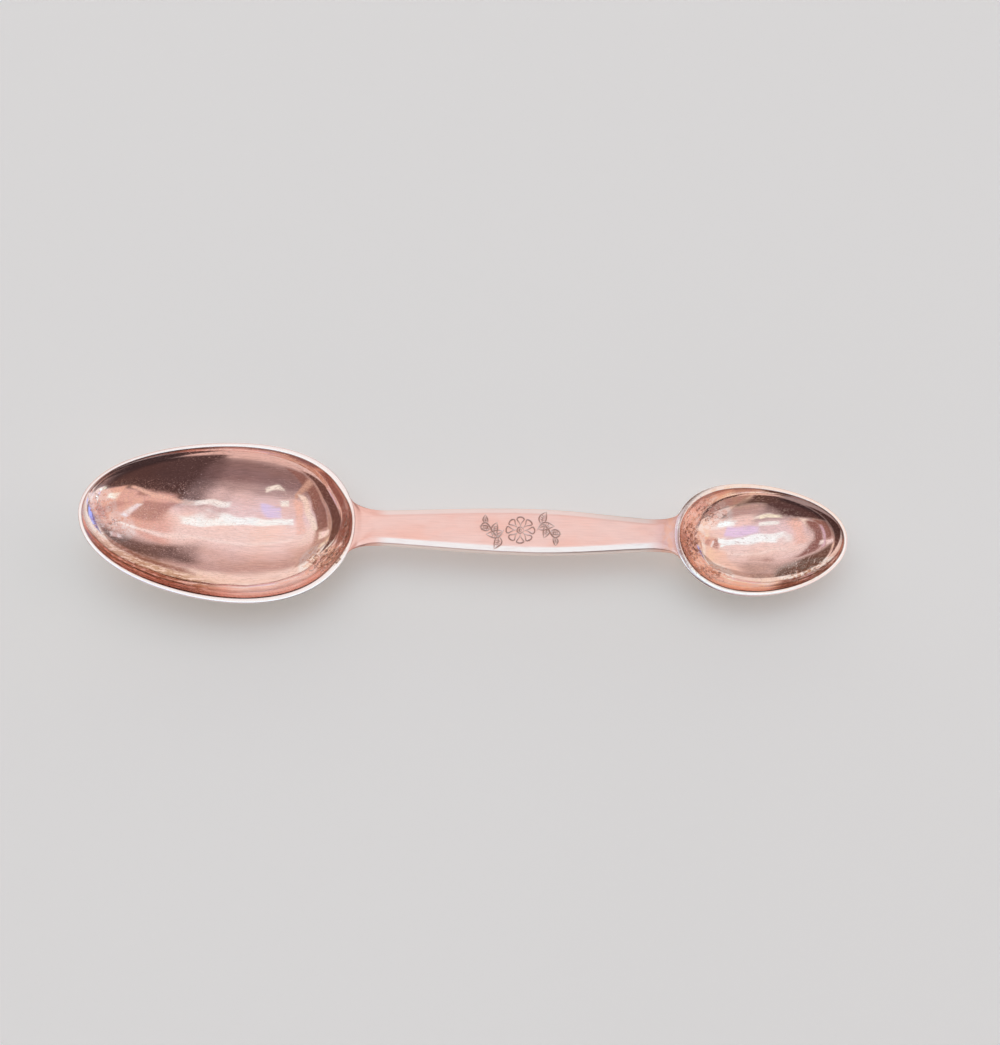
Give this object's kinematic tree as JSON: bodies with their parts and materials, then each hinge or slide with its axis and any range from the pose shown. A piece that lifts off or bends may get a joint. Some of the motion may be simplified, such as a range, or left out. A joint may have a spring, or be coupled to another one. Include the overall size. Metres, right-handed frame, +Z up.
{
  "type": "medicine spoon",
  "caption": "Double-ended silver medicine spoon: a deep oval bowl at one end and a smaller one at the other, joined by a flat bevelled stem whose roots lap the heels of the bowls.",
  "frame": {"origin": "centre of the spoon's plan box, on the surface that it stands on", "axes": "+X along the spoon towards the small bowl, +Y across it, +Z up out of the bowls"},
  "size_m": [0.15, 0.0346, 0.0128],
  "materials": {
    "bowl_silver": "polished silver, warm pink tarnish, fine scratches",
    "stem_silver": "polished silver, softly worn, engraved on top",
    "silver_solder": "dull silver solder, slightly darker and warmer"
  },
  "bodies": {
    "root": {"large_bowl": "bowl_silver", "small_bowl": "bowl_silver", "stem": "stem_silver", "large_solder_fillet": "silver_solder", "small_solder_fillet": "silver_solder"}
  },
  "joints": []
}
